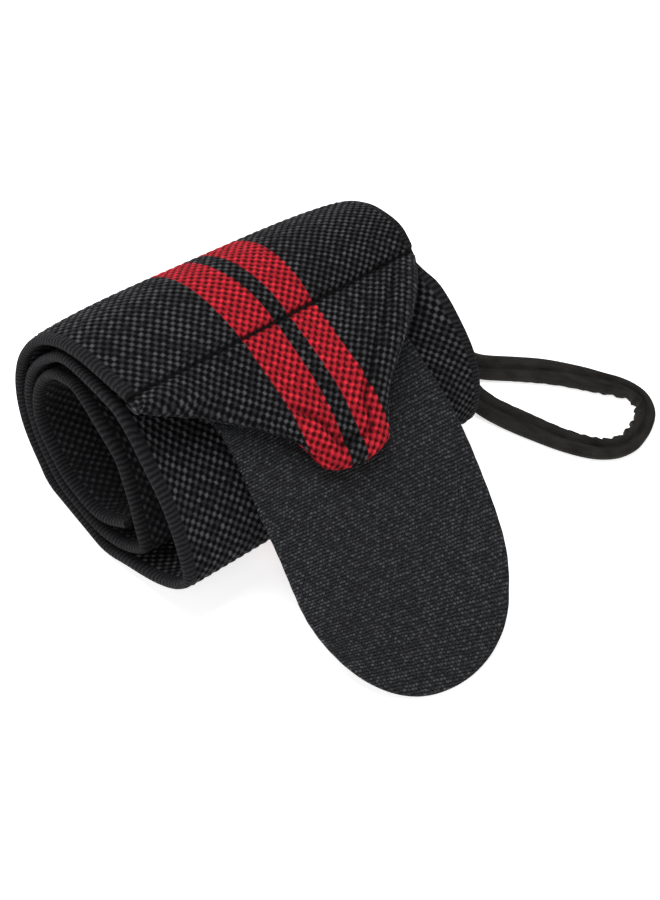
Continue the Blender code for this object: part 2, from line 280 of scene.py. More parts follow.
class Bench:
    """Builds one material's nodes."""

    def __init__(self, name):
        self.material = bpy.data.materials.new(name)
        self.material.use_nodes = True
        self.tree = self.material.node_tree
        self.shader = self.tree.nodes["Principled BSDF"]

    def node(self, kind, settings=None, inputs=None):
        node = self.tree.nodes.new(kind)
        for key, value in (settings or {}).items():
            setattr(node, key, value)
        for key, value in (inputs or {}).items():
            self.feed(node.inputs[key], value)
        return node

    def feed(self, socket, value):
        if isinstance(value, Signal):
            self.tree.links.new(value.socket, socket)
        elif isinstance(value, bpy.types.NodeSocket):
            self.tree.links.new(value, socket)
        else:
            socket.default_value = value

    def math(self, operation, *values):
        node = self.node("ShaderNodeMath", {"operation": operation}, dict(enumerate(values)))
        return Signal(self, node.outputs[0])

    def smooth(self, value, low, high):
        """0 below low, 1 above high and a smooth rise between them, or a fall if high is below."""
        node = self.node(
            "ShaderNodeMapRange", {"interpolation_type": "SMOOTHSTEP"},
            {"Value": value, "From Min": low, "From Max": high})
        return Signal(self, node.outputs[0])

    def colour(self, first, second, share):
        node = self.node("ShaderNodeMix", {"data_type": "RGBA"}, {"Factor": share})
        self.feed(node.inputs[6], first)
        self.feed(node.inputs[7], second)
        return node.outputs[2]

    def shade(self, colour, level):
        """A colour times a level."""
        node = self.node(
            "ShaderNodeVectorMath", {"operation": "SCALE"}, {0: colour, "Scale": level})
        return node.outputs[0]

    def noise(self, place, scale, detail=2.0, roughness=0.5):
        node = self.node(
            "ShaderNodeTexNoise", None,
            {"Vector": place, "Scale": scale, "Detail": detail, "Roughness": roughness})
        return Signal(self, node.outputs["Fac"])

    def scaled(self, place, factors):
        node = self.node(
            "ShaderNodeVectorMath", {"operation": "MULTIPLY"}, {0: place, 1: factors})
        return node.outputs[0]

    def by_cell(self, first, second):
        """A chance value from 0 to 1, the same all over one cell of a pattern."""
        cell = self.node("ShaderNodeCombineXYZ", None, {
            0: self.math("FLOOR", first), 1: self.math("FLOOR", second)})
        chance = self.node("ShaderNodeTexWhiteNoise", None, {"Vector": cell.outputs[0]})
        return Signal(self, chance.outputs["Value"])

    def place(self):
        """The piece's own map, as a vector and as its two values."""
        node = self.node("ShaderNodeUVMap", {"uv_map": "Cloth"})
        parts = self.node("ShaderNodeSeparateXYZ", None, {0: node.outputs[0]})
        return node.outputs[0], Signal(self, parts.outputs[0]), Signal(self, parts.outputs[1])

    def bump(self, height, distance):
        inputs = {"Height": height, "Distance": distance, "Strength": 1.0}
        return self.node("ShaderNodeBump", None, inputs).outputs[0]

    def finish(self, colour, roughness, normal, sheen=0.0, specular=0.5):
        ports = self.shader.inputs
        self.feed(ports["Base Color"], colour)
        self.feed(ports["Roughness"], roughness)
        if normal is not None:
            self.feed(ports["Normal"], normal)
        ports["Sheen Weight"].default_value = sheen
        ports["Sheen Roughness"].default_value = 0.45
        ports["Specular IOR Level"].default_value = specular
        return self.material


def band_material():
    """Coarse chequered elastic weave with ribbed selvedges and two red stripes."""
    size, tone = sizes(), colours()
    bench = Bench("band_weave")
    vector, across, along = bench.place()
    x = across * (size.pitch_across / MM)
    side = bench.math("ABSOLUTE", x)
    wobble = bench.noise(vector, 1.1, 2.0) - 0.5
    drift = bench.noise(vector, 0.10, 2.0) - 0.5
    thread_across = (across + wobble * 0.24 + drift * 0.36) * 2.0
    thread_along = (along + wobble * 0.36 - drift * 0.30) * 2.0
    waves_across = bench.math("SINE", thread_across * (TAU / 2))
    waves_along = bench.math("SINE", thread_along * (TAU / 2))
    chequer = waves_across * waves_along * (1.40 - waves_along * waves_along * 0.40)
    knuckle = bench.smooth(chequer, -0.25, 0.95)
    full = bench.smooth(chequer, -0.85, 0.05)
    fuller = bench.smooth(chequer, -0.80, -0.28)
    fibre = bench.noise(bench.scaled(vector, (26.0, 5.0, 1.0)), 1.0, 3.0, 0.65)
    cast = bench.by_cell(thread_across, thread_along)
    # Painted shadow in the crease of the seam across the point's base
    seam = bench.smooth(bench.math("ABSOLUTE", along + wobble * 0.15), 0.38, 0.10)
    # Painted shade in the creases where the sewn lines pull the cloth in, read from the mark kept on
    # the points
    press_shade_mark = bench.node("ShaderNodeAttribute", {"attribute_name": "PressShade"})
    press = Signal(bench, press_shade_mark.outputs["Fac"])
    # Painted shade on the roll's inner turns inside the bore
    deep = bench.smooth(along, *INNER_TURNS_SHADE)
    edge = size.band_width / 2 / MM - size.selvedge_width / MM
    in_roll = bench.smooth(along, -0.25, 0.1)
    selvedge = bench.smooth(side, edge - 0.3, edge + 0.3) * in_roll
    rib = bench.math("SINE", along * (TAU * 2.0) + wobble * 4.5) * 0.5 + 0.5
    rib_fibre = bench.noise(bench.scaled(vector, (5.0, 40.0, 1.0)), 1.0, 2.0, 0.6)
    groove = bench.smooth(bench.math("ABSOLUTE", side - edge), 0.55, 0.0) * in_roll

    place = x + wobble * 0.35
    ahead = bench.smooth(along, 2.0, -6.0)
    near = bench.smooth(bench.math("ABSOLUTE", along + 2.0), 14.0, 4.0)
    slide = bench.smooth(along, -12.0, 12.0) * 2.2 - 1.1
    stripe = None
    for start, end in ((ahead * 0.5 + STRIPES[0], near * 1.2 + STRIPES[1]),
                       (near * 0.7 + STRIPES[2], slide + STRIPES[3])):
        one = bench.smooth(place - start, -0.12, 0.12) * bench.smooth(place - end, 0.12, -0.12)
        stripe = one if stripe is None else stripe + one
    blotch = bench.noise(vector, 0.16, 3.0)
    # Painted shade in the gaps between the raised threads and painted highlights on their middles,
    # stronger on some threads at random, with fibre streaks
    level = 0.01 + full * (0.17 + knuckle * (0.32 + cast * 1.65)) + full * (fibre - 0.5) * 2.1
    # Random blotches in the cloth's tone, and painted shade on the inner turns that also flattens
    # their weave's contrast
    level = level * (0.80 + blotch * 0.4) * (1 - deep * 0.6) + deep * 0.12
    ribbed = 0.13 + rib * 0.42 + (rib_fibre - 0.5)
    black = bench.shade((*tone.band_black,), level * (1 - selvedge) + ribbed * selvedge)
    # Painted shade in the gaps between the red raised threads and painted highlights on their
    # middles, stronger on some at random
    red_level = 0.08 + fuller * (0.44 + knuckle * (0.20 + cast * 0.65)) + fuller * (fibre - 0.5)
    red_level = red_level * (0.90 + blotch * 0.20)
    red = bench.shade((*tone.band_red,), red_level)
    # Painted shade: the seam's crease, the sewn lines' creases and the inner turns
    painted_shade = (1 - seam * 0.86) * (1 - press * 0.60) * (1 - deep * 0.15)
    base = bench.shade(bench.colour(black, red, stripe), painted_shade)

    height = knuckle * 0.55 + full * 0.35 + fibre * 0.18
    ribs = rib * 0.75 + rib_fibre * 0.22
    relief = height * (1 - selvedge) + ribs * selvedge - groove * 0.35
    normal = bench.bump(relief, 0.00040)
    rough = 0.78 + (fibre - 0.5) * 0.2
    return bench.finish(base, rough, normal, sheen=0.01, specular=0.07)


def tab_material():
    """Fine woven back of the hook tape, with short bright float threads and painted glints on some of
    them.
    """
    tone = colours()
    bench = Bench("tab_weave")
    vector, across, along = bench.place()
    drift = bench.noise(vector, 0.35, 2.0) - 0.5
    fine = bench.noise(bench.scaled(vector, (2.8, 4.4, 1.0)), 1.0, 2.0, 0.6)
    rows = along * 1.56 + drift * 0.9
    row = bench.math("FLOOR", rows)
    dashes = across * 1.35 + row * 0.47 + drift * 1.2
    cast = bench.by_cell(dashes, row)
    ridge = bench.math("SINE", bench.math("FRACT", rows) * (TAU / 2))
    dash = bench.smooth(bench.math("SINE", bench.math("FRACT", dashes) * (TAU / 2)), 0.0, 0.7)
    slant = bench.math("SINE", (across * 0.54 - along * 0.52 + drift * 0.5) * TAU)
    cross_slant = bench.math("SINE", (across * 0.54 + along * 0.52 + drift * 0.5) * TAU)
    blotch = bench.noise(vector, 0.08, 3.0)
    float_thread = ridge * dash
    # Painted highlights on some float threads, chosen at random
    glint = bench.smooth(cast, 0.35, 1.0)
    level = 0.05 + ridge * 0.20 + float_thread * (glint * 1.25 + 0.50) + (fine - 0.5) * 3.0
    level = level * (1.0 + slant * 0.18 + cross_slant * 0.12) * (0.80 + blotch * 0.4)
    base = bench.shade((*tone.tab_black,), level)
    relief = ridge * 0.35 + float_thread * (0.25 + cast * 0.4) + fine * 0.3 + slant * 0.08
    normal = bench.bump(relief, 0.00030)
    rough = 0.66 - float_thread * cast * 0.15
    return bench.finish(base, rough, normal, sheen=0.01, specular=0.10)


def loop_material():
    """Matt elastic tape with fine ribs along it."""
    tone = colours()
    bench = Bench("loop_elastic")
    vector, across, along = bench.place()
    drift = bench.noise(vector, 0.7, 2.0) - 0.5
    rib = bench.math("SINE", (across * 2.0 + drift * 0.4) * TAU) * 0.5 + 0.5
    knit = bench.math("SINE", (along * 3.0 + bench.math("ABSOLUTE", across) * 2.0) * TAU) * 0.5 + 0.5
    fuzz = bench.noise(bench.scaled(vector, (9.0, 3.0, 1.0)), 1.0, 3.0, 0.65)
    sway = bench.math("SINE", along * 0.085 + 0.6) * 0.75
    # Painted shade along a wandering crease down the strap
    crease_shade = bench.smooth(bench.math("ABSOLUTE", across - 0.3 - sway), 1.1, 0.1)
    patch = bench.noise(bench.scaled(vector, (0.5, 0.22, 1.0)), 1.0, 3.0)
    level = 0.50 + rib * 0.15 + knit * 0.12 + (fuzz - 0.5) * 0.9 + (patch - 0.5) * 1.4 - crease_shade * 0.30
    base = bench.shade((*tone.loop_black,), level)
    normal = bench.bump(rib * 0.4 + knit * 0.3 + fuzz * 0.5, 0.00012)
    return bench.finish(base, 0.85, normal, sheen=0.02, specular=0.12)


def thread_material(name, tone, fuzz_level):
    """Twisted sewing thread."""
    bench = Bench(name)
    coords = bench.node("ShaderNodeTexCoord").outputs["Object"]
    twist = bench.noise(bench.scaled(coords, (4000.0, 4000.0, 4000.0)), 1.0, 2.0)
    base = bench.shade(tone, 0.6 + twist * fuzz_level)
    normal = bench.bump(twist, 0.0001)
    return bench.finish(base, 0.85, normal, specular=0.05)


def hook_material():
    """Dark nylon hooks."""
    bench = Bench("hook_nylon")
    coords = bench.node("ShaderNodeTexCoord").outputs["Object"]
    grain = bench.noise(coords, 900.0, 2.0)
    base = bench.shade((0.012, 0.012, 0.013), 0.7 + grain * 0.6)
    normal = bench.bump(grain, 0.00005)
    return bench.finish(base, 0.38 + grain * 0.1, normal, specular=0.5)


def curve_through(rows, steps):
    """Rows of numbers on a smooth curve through the given rows, so many steps a row."""
    rows = np.asarray(rows, float)
    last = len(rows) - 1
    index = np.repeat(np.arange(last), steps)
    part = np.tile(np.arange(steps) / steps, last)[:, None]
    before = rows[np.maximum(index - 1, 0)]
    start = rows[index]
    end = rows[index + 1]
    after = rows[np.minimum(index + 2, last)]
    curve = 0.5 * (
        2.0 * start
        + (end - before) * part
        + (2.0 * before - 5.0 * start + 4.0 * end - after) * part**2
        + (3.0 * start - before - 3.0 * end + after) * part**3
    )
    return np.vstack([curve, rows[last]])


def read_at(lengths, rows, places):
    """Rows of numbers read at the given lengths along them."""
    flat = rows.reshape(len(rows), -1)
    columns = [np.interp(places, lengths, flat[:, k]) for k in range(flat.shape[1])]
    return np.stack(columns, 1).reshape(len(places), *rows.shape[1:])


def units(vectors):
    """The vectors, each at a length of one."""
    return vectors / np.linalg.norm(vectors, axis=-1, keepdims=True)


def level_across(heading):
    """Level directions square to the headings."""
    return units(np.stack([-heading[:, 1], heading[:, 0], 0.0 * heading[:, 0]], 1))


def smoothed(values, reach):
    """The mean of each value and of so many neighbours on either side."""
    count = 2 * reach + 1
    padded = np.pad(values, reach, mode="edge")
    return np.convolve(padded, np.full(count, 1 / count), mode="valid")


def run_lengths(points):
    steps = np.linalg.norm(np.diff(points, axis=0), axis=1)
    return np.concatenate([[0.0], np.cumsum(steps)])


def grid_normals(grid):
    """Unit normals of a grid of points. Its columns run to +X and its rows away from the tip."""
    across = np.gradient(grid, axis=1)
    along = np.gradient(grid, axis=0)
    normals = np.cross(across, along)
    return normals / np.maximum(np.linalg.norm(normals, axis=2, keepdims=True), 1e-12)


def blend_between(low, high, value):
    """A smooth rise from 0 at low to 1 at high."""
    share = np.clip((value - low) / (high - low), 0.0, 1.0)
    return share * share * (3.0 - 2.0 * share)


def roll_places(values, aside):
    """Points of the band's outer face in metres, for table rows and shares across the band."""
    layers = values[:, 0:1]
    centre = np.array([ROLL_CENTRE[0] * ROLL_DEPTH, ROLL_CENTRE[1] * ROLL_HEIGHT])
    ends = []
    for first in (1, 3):
        place = np.stack(
            [values[:, first] * ROLL_DEPTH, np.maximum(values[:, first + 1], 0.0) * ROLL_HEIGHT], 1)
        ends.append(place + units(centre - place) * layers * LAYER_PITCH)
    share = ((aside + 1.0) / 2.0)[None, :, None]
    place = ends[0][:, None, :] * (1.0 - share) + ends[1][:, None, :] * share
    sink = values[:, 5][:, None, None] * ROLL_HEIGHT * (1.0 - aside**4)[None, :, None]
    place = place + units(centre - place) * sink
    x = np.broadcast_to(aside * sizes().band_width / 2, place.shape[:2])
    return np.concatenate([x[:, :, None], place], 2)


def point_places(values, aside, seam_middle):
    """Points of the folded end's outer face, for rows of its table and shares across.

    Its near corner keeps the band's full width for a part of its length and curls up a little.
    """
    width = sizes().band_width
    corner = 1.0 - blend_between(CORNER_OUT[0], CORNER_OUT[1], values[:, 1:2])
    corner = corner * blend_between(0.50, 1.0, -aside)[None, :]
    x = aside[None, :] * (values[:, 0:1] + (1.0 - values[:, 0:1]) * corner) * width / 2
    y = seam_middle[1] - values[:, 1:2] * POINT_LENGTH + values[:, 3:4] * x
    z = seam_middle[2] - values[:, 2:3] * POINT_LENGTH - values[:, 4:5] * x
    z = z + values[:, 5:6] * width * aside[None, :] ** 2
    z = z + CORNER_CURL * corner**2 * blend_between(0.0, 0.17, values[:, 1:2])
    return np.stack([x, y, z], 2)


class BandShape:
    """The band's outer face, read at any place along it and across it."""

    def __init__(self, aside):
        size = sizes()
        roll_values = curve_through(ROLL_SECTIONS, 24)
        roll = roll_places(roll_values, aside)
        ends = roll_places(roll_values[:1], np.array([-1.0, 0.0, 1.0]))[0]
        middle = (ends[0] + ends[2]) / 2
        step = ends[2] - ends[0]
        seam_row = (1.0, 0.0, 0.0, step[1] / size.band_width, -step[2] / size.band_width, 0.0)
        point_values = curve_through(POINT_SECTIONS + [seam_row], 24)
        point = point_places(point_values, aside, middle)
        self.faces = np.vstack([point[:-1], roll])
        width_share = np.concatenate([point_values[:-1, 0], np.ones(len(roll))])
        centre = self.faces[:, len(aside) // 2]
        lengths = run_lengths(centre)
        self.seam_at = lengths[len(point) - 1]
        self.total = lengths[-1]
        self.lengths = lengths
        self.half_width = width_share * size.band_width / 2
        self.skew = seam_row[3]

    def at(self, places):
        """Face points and half widths at lengths along the band."""
        points = read_at(self.lengths, self.faces, places)
        half = np.interp(places, self.lengths, self.half_width)
        return points, half


def edge_columns(step, half, edge_steps):
    """Shares across a strip: close together on its round sides and a step apart between them."""
    count = int((half - edge_steps[-1]) / step)
    middle = np.arange(-count, count + 1) * step / half
    low = -1.0 + np.array(edge_steps) / half
    return np.concatenate([low, middle, -low[::-1]])


def skin(name, top, bottom, uv, bottom_uv, material, press=None):
    """A closed piece from a top and a bottom grid with the same outline.

    The two grids have as many rows. Their first and last columns are the same points.
    """
    rows, cols = top.shape[:2]
    low_cols = bottom.shape[1]
    points = np.vstack([top.reshape(-1, 3), bottom[:, 1:-1].reshape(-1, 3)])
    maps = np.vstack([uv.reshape(-1, 2), bottom_uv[:, 1:-1].reshape(-1, 2)])
    upper = np.arange(rows * cols).reshape(rows, cols)
    lower = np.empty((rows, low_cols), int)
    lower[:, 0] = upper[:, 0]
    lower[:, -1] = upper[:, -1]
    lower[:, 1:-1] = rows * cols + np.arange(rows * (low_cols - 2)).reshape(rows, low_cols - 2)
    faces = quads(upper) + [face[::-1] for face in quads(lower)]
    for row, flip in ((0, False), (rows - 1, True)):
        faces += closing_strip(upper[row], lower[row], top[row], bottom[row], flip)
    piece = new_piece(name, points, faces, material, maps)
    # The sewn lines' pull-in is kept as a mark on the points, which the band's material turns into
    # painted shade
    if press is not None:
        values = np.zeros(len(points), np.float32)
        values[:press.size] = press.ravel()
        mark = piece.data.attributes.new("PressShade", "FLOAT", "POINT")
        mark.data.foreach_set("value", values)
    return piece


def quads(index):
    """The four-sided faces of a grid of point numbers."""
    corners = [index[:-1, :-1], index[:-1, 1:], index[1:, 1:], index[1:, :-1]]
    return np.stack(corners, 2).reshape(-1, 4).tolist()


def new_piece(name, points, faces, material, maps=None):
    """A smooth piece whose faces point outwards, with its own map where maps are given."""
    mesh = bpy.data.meshes.new(name)
    mesh.from_pydata(points.tolist(), [], faces)
    if maps is not None:
        corner = np.empty(len(mesh.loops), np.int32)
        mesh.loops.foreach_get("vertex_index", corner)
        layer = mesh.uv_layers.new(name="Cloth")
        layer.data.foreach_set("uv", maps[corner].astype(np.float32).ravel())
    mesh.shade_smooth()
    mesh.materials.append(material)
    piece = bpy.data.objects.new(name, mesh)
    bpy.context.scene.collection.objects.link(piece)
    outwards(piece)
    return piece


def outwards(piece):
    """Turns the faces of a closed piece outwards."""
    shape = bmesh.new()
    shape.from_mesh(piece.data)
    bmesh.ops.recalc_face_normals(shape, faces=shape.faces)
    shape.to_mesh(piece.data)
    shape.free()


def closing_strip(upper, lower, top_row, bottom_row, flip):
    """Triangles between the ends of the two grids, which share their first and last points."""
    faces = []
    i, j = 0, 0
    while i < len(upper) - 1 or j < len(lower) - 1:
        step_up = top_row[i + 1, 0] if i < len(upper) - 1 else np.inf
        step_low = bottom_row[j + 1, 0] if j < len(lower) - 1 else np.inf
        if step_up <= step_low:
            face = [upper[i], lower[j], upper[i + 1]]
            i += 1
        else:
            face = [upper[i], lower[j], lower[j + 1]]
            j += 1
        if len(set(face)) == 3:
            faces.append([int(k) for k in (face[::-1] if flip else face)])
    return faces


def rounding(distance, radius):
    """Share of the full thickness at a distance from a round edge."""
    share = np.clip(distance / radius, 0.0, 1.0)
    return np.sqrt(np.maximum(1.0 - (1.0 - share) ** 2, 0.0))


def band_fields(shape, places, aside):
    """What the band's surfaces need at rows along it and columns across it."""
    size = sizes()
    points, half = shape.at(places)
    normals = grid_normals(points)
    x = points[:, :, 0]
    run = places[:, None] - shape.seam_at
    slant = np.gradient(half, places)
    closeness = 1.0 / np.sqrt(1.0 + slant**2)
    from_side = (1.0 - np.abs(aside))[None, :] * (half * closeness)[:, None]
    from_end = np.minimum(places, shape.total - places)[:, None]
    folded = 1.0 - blend_between(-0.0015, 0.0015, run)
    thickness = size.band_thickness + (size.point_thickness - size.band_thickness) * folded
    edge = np.minimum(from_side, from_end)
    in_point = run < 0.0
    middle_y = points[:, len(aside) // 2, 1][:, None]
    stray = points[:, :, 1] - middle_y - shape.skew * x
    along = run + np.where(in_point, stray, 0.0)
    return points, normals, x, along, edge, thickness, folded, run


def weave_relief(x, along, folded):
    """How far the raised threads of the coarse weave stand out, from -1 to 1."""
    size = sizes()
    chequer = np.sin(TAU * x / size.pitch_across) * np.sin(TAU * along / size.pitch_along)
    field = size.band_width / 2 - size.selvedge_width
    plain = blend_between(field + 0.0002, field - 0.0004, np.abs(x))
    return chequer * (plain * (1.0 - folded) + folded)


def seam_press(x, along, edge, run):
    """How far the sewn lines pull the cloth in, from 0 to 1."""
    size = sizes()
    cross = np.exp(-((along / 0.00055) ** 2))
    near_tip = blend_between(-0.013, -0.017, run)
    hem = 0.95 * blend_between(0.003, 0.006, x) * blend_between(-0.0005, -0.0035, run)
    rim = np.exp(-(((edge - size.seam_inset) / 0.00065) ** 2)) * np.maximum(near_tip, hem)
    return np.maximum(cross, rim)


def band_rows(shape):
    """Places of the rows along the band: close together where the weave shows, and how close."""
    step = sizes().pitch_along / 4
    seam = shape.seam_at
    hidden, shown, deep = WEAVE_SHOWS
    stretches = ((-seam, hidden, step), (hidden, shown, HIDDEN_GAPS[0]), (shown, deep, step),
                 (deep, shape.total - seam, HIDDEN_GAPS[1]))
    rows = []
    fine = []
    for start, end, gap in stretches:
        first = math.ceil(start / gap - 1e-6)
        last = math.ceil(end / gap - 1e-6)
        rows += [seam + index * gap for index in range(first, last)]
        fine += [1.0 if gap == step else 0.0] * (last - first)
    rows = np.array(rows)
    keep = (rows > 0.0014) & (rows < shape.total - 0.0012)
    keep[1:] &= np.diff(rows) > step * 0.4
    tip = [0.0, 0.00008, 0.0003, 0.0006, 0.0010]
    end = [shape.total - gap for gap in (0.0007, 0.0003, 0.00008, 0.0)]
    fine = np.concatenate([[1.0] * len(tip), np.array(fine)[keep], [0.0] * len(end)])
    return np.concatenate([tip, rows[keep], end]), np.minimum(smoothed(fine, 4), fine)


def make_band():
    """The woven band in one piece, with its raised weave, sewn lines and folded point."""
    size = sizes()
    half = size.band_width / 2
    top_aside = edge_columns(size.pitch_across / 4, half, BAND_SIDE + [0.0012])
    low_aside = edge_columns(size.pitch_across * 1.5, half, BAND_SIDE)
    shape = BandShape(top_aside)
    low_shape = BandShape(low_aside)
    places, fine = band_rows(shape)

    points, normals, x, along, edge, thickness, folded, run = band_fields(shape, places, top_aside)
    body = rounding(edge, thickness * 0.55)
    rim = blend_between(0.0, 0.004, edge) * (1.0 - blend_between(0.004, 0.011, edge))
    pillow = RIM_HEIGHT * folded * rim
    relief = weave_relief(x, along, folded) * size.weave_height
    press = seam_press(x, along, edge, run)
    middle = points - normals * (thickness / 2)[:, :, None]
    raised = relief * fine[:, None] + pillow - press * SEAM_DEPTH
    lift = thickness / 2 * body + raised * blend_between(0.0, 0.35, body)
    top = middle + normals * lift[:, :, None]

    low_points, low_normals, low_x, low_along, low_edge, low_thickness, _, _ = (
        band_fields(low_shape, places, low_aside))
    low_body = rounding(low_edge, low_thickness * 0.55)
    bottom = low_points - low_normals * (low_thickness / 2 * (1.0 + low_body))[:, :, None]
    bottom[:, 0] = top[:, 0]
    bottom[:, -1] = top[:, -1]
    drop = thickness / 2 * (1.0 - body)
    from_side = (1.0 - np.abs(top_aside))[None, :] * shape.at(places)[1][:, None]
    sideways = np.where(edge < from_side * 0.6, 0.3, 1.0) * np.sign(top_aside)[None, :]
    uv = np.stack([(x + drop * sideways) / size.pitch_across, along / size.pitch_along], 2)
    low_uv = np.stack([low_x / size.pitch_across, low_along / size.pitch_along], 2)
    start = np.array(ROLL_START)
    band = skin("band_cloth", top + start, bottom + start, uv, low_uv, band_material(), press)
    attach(band, "root")
    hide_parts("wrap_band")
    return band


class TabShape:
    """The hook tab's middle surface, read at any place along it and across it."""

    def __init__(self):
        size = sizes()
        rows = curve_through(TAB_SECTIONS, 24)
        scale = np.array([size.tab_width, ROLL_DEPTH, ROLL_HEIGHT])
        self.centres = rows[:, :3] * scale
        self.bank = np.radians(rows[:, 3])
        self.lengths = run_lengths(self.centres)
        self.total = self.lengths[-1]

    def half_width(self, along):
        end = np.maximum(along - (self.total - sizes().tab_width / 2), 0.0)
        return np.sqrt(np.maximum((sizes().tab_width / 2) ** 2 - end**2, 0.0))

    def at(self, along):
        """Middle points, directions across and directions up, at lengths along the tab."""
        points = read_at(self.lengths, self.centres, along)
        heading = units(read_at(self.lengths, np.gradient(self.centres, axis=0), along))
        bank = np.interp(along, self.lengths, self.bank)[:, None]
        level = level_across(heading)
        upward = np.cross(heading, level)
        across = level * np.cos(bank) - upward * np.sin(bank)
        return points, across, np.cross(heading, across)


def tip_droop(share):
    """How far the tab's thin end sinks to reach the surface."""
    return TAB_DROOP * blend_between(0.72, 1.0, share)


def tab_swell(along):
    """The tab's width beside its plain width: fuller near the point and slimmer further on."""
    return 1.035 - 0.075 * blend_between(0.026, 0.056, along)


def make_tab():
    """The hook tab's woven base, with its half-round end."""
    size = sizes()
    shape = TabShape()
    half = size.tab_width / 2
    turn = np.radians(np.linspace(0.0, 89.4, 46))
    straight = np.arange(0.0, shape.total - half, TAB_STEP)
    along = np.concatenate([straight[:-1], shape.total - half * (1.0 - np.sin(turn))])
    along = np.concatenate([[0.0, 0.0002, 0.0005], along[1:]])
    centres, across, upward = shape.at(along)
    slimmer = 0.035 * blend_between(0.048, 0.064, along)
    widths = shape.half_width(along) * (tab_swell(along) - slimmer)
    share = edge_columns(TAB_STEP, half, TAB_SIDE)
    x = share[None, :] * widths[:, None]
    ragged = 0.00010 * np.sin(along * 330.0) + 0.00003 * np.sin(along * 1700.0 + 1.0)
    x = x * (1.0 + ragged[:, None] / half)
    slant = np.gradient(widths, along)
    from_side = (1.0 - np.abs(share))[None, :] * (widths / np.sqrt(1.0 + slant**2))[:, None]
    edge = np.minimum(from_side, np.minimum(along, shape.total - along)[:, None])
    body = rounding(edge, 0.0003)
    middle_level = TAB_FACE - size.tab_thickness / 2
    sway = 0.00018 * np.sin(x * 150.0 + along[:, None] * 90.0) * blend_between(0.0, 0.006, edge)
    sway = sway - tip_droop(along / shape.total)[:, None]
    base = centres[:, None, :] + across[:, None, :] * x[:, :, None]
    up = upward[:, None, :]
    top = base + up * (middle_level + size.tab_thickness / 2 * body + sway)[:, :, None]
    bottom = base + up * (middle_level - size.tab_thickness / 2 * body + sway)[:, :, None]
    start = np.array(ROLL_START)
    uv = np.stack([x, np.broadcast_to(along[:, None], x.shape)], 2) / MM
    tab = skin("tab_cloth", top + start, bottom + start, uv, uv, tab_material())
    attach(tab, "root")
    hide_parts("hook_tab")
    return tab


def make_loop():
    """The strap: a flat soft tube, creased along its middle and gathered inside its bend."""
    size = sizes()
    route = curve_through(LOOP_ROUTE, 12)
    floor = size.strap_thickness / 2
    raised = np.maximum(route[:, 2], 0.0)
    centres = np.stack([
        size.band_width / 2 + route[:, 0] * LOOP_REACH,
        route[:, 1] * ROLL_DEPTH,
        floor + raised * (SEAT_HEIGHT - floor)], 1)
    lengths = run_lengths(centres)
    along = np.linspace(0.0, lengths[-1], LOOP_ROWS)
    points = read_at(lengths, centres, along)
    heading = units(np.gradient(points, axis=0))
    side = level_across(heading)
    upward = np.cross(heading, side)
    turning = smoothed(np.cross(heading, np.gradient(heading, along, axis=0))[:, 2], 6)
    bend = smoothed(np.clip(-turning / 130.0, 0.0, 1.0), 12)
    ring = np.linspace(0.0, TAU, LOOP_SIDES, endpoint=False)
    cos, sin = np.cos(ring), np.sin(ring)
    flat_cos = np.sign(cos) * np.abs(cos) ** 0.75
    flat_sin = np.sign(sin) * np.abs(sin) ** 0.62
    gather = np.sin(along / GATHER_PITCH * TAU + 1.5 * np.sin(along * 410.0))
    gather = gather + 0.35 * np.sin(along * 4100.0)
    inner_side = blend_between(0.1, 0.9, -flat_cos)
    breadth = size.strap_width / 2 * (1.02 - 0.16 * bend + 0.03 * np.sin(along * 310.0))
    drawn_in = 1.0 - 0.62 * bend[:, None] * blend_between(0.0, 0.2, -flat_cos)
    reach = breadth[:, None] * flat_cos * drawn_in
    reach = reach + (gather * bend * 0.00050)[:, None] * inner_side
    fold_at = 0.10 + 0.25 * np.sin(along * 85.0 + 0.6)[:, None]
    crease = 0.00075 * np.exp(-(((flat_cos - fold_at) / 0.26) ** 2)) * (sin > 0)
    ripple = (gather * bend * 0.00030)[:, None] * inner_side * np.abs(flat_sin)
    plump = np.where(sin > 0, 0.80, 1.0)
    rise = size.strap_thickness / 2 * flat_sin * plump - crease + ripple * (sin > 0)
    ends = blend_between(0.0, 0.0006, np.minimum(along, along[-1] - along))[:, None]
    reach = reach * (0.9 + 0.1 * ends)
    rise = np.broadcast_to(rise, reach.shape) * (0.75 + 0.25 * ends)
    shell = (
        points[:, None, :] + side[:, None, :] * reach[:, :, None]
        + upward[:, None, :] * rise[:, :, None]) + np.array(ROLL_START)
    uv = np.stack([
        np.broadcast_to(flat_cos * 3.0, reach.shape),
        np.broadcast_to(along[:, None] / MM, reach.shape)], 2)
    loop = tube("loop_strap", shell, uv, loop_material())
    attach(loop, "root")
    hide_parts("thumb_loop")
    return loop


def tube(name, shell, uv, material):
    """A closed piece from rings of points, capped at both ends."""
    rows, cols = shell.shape[:2]
    index = np.arange(rows * cols).reshape(rows, cols)
    faces = quads(np.hstack([index, index[:, :1]]))
    faces += [index[0, ::-1].tolist(), index[-1].tolist()]
    return new_piece(name, shell.reshape(-1, 3), faces, material, uv.reshape(-1, 2))


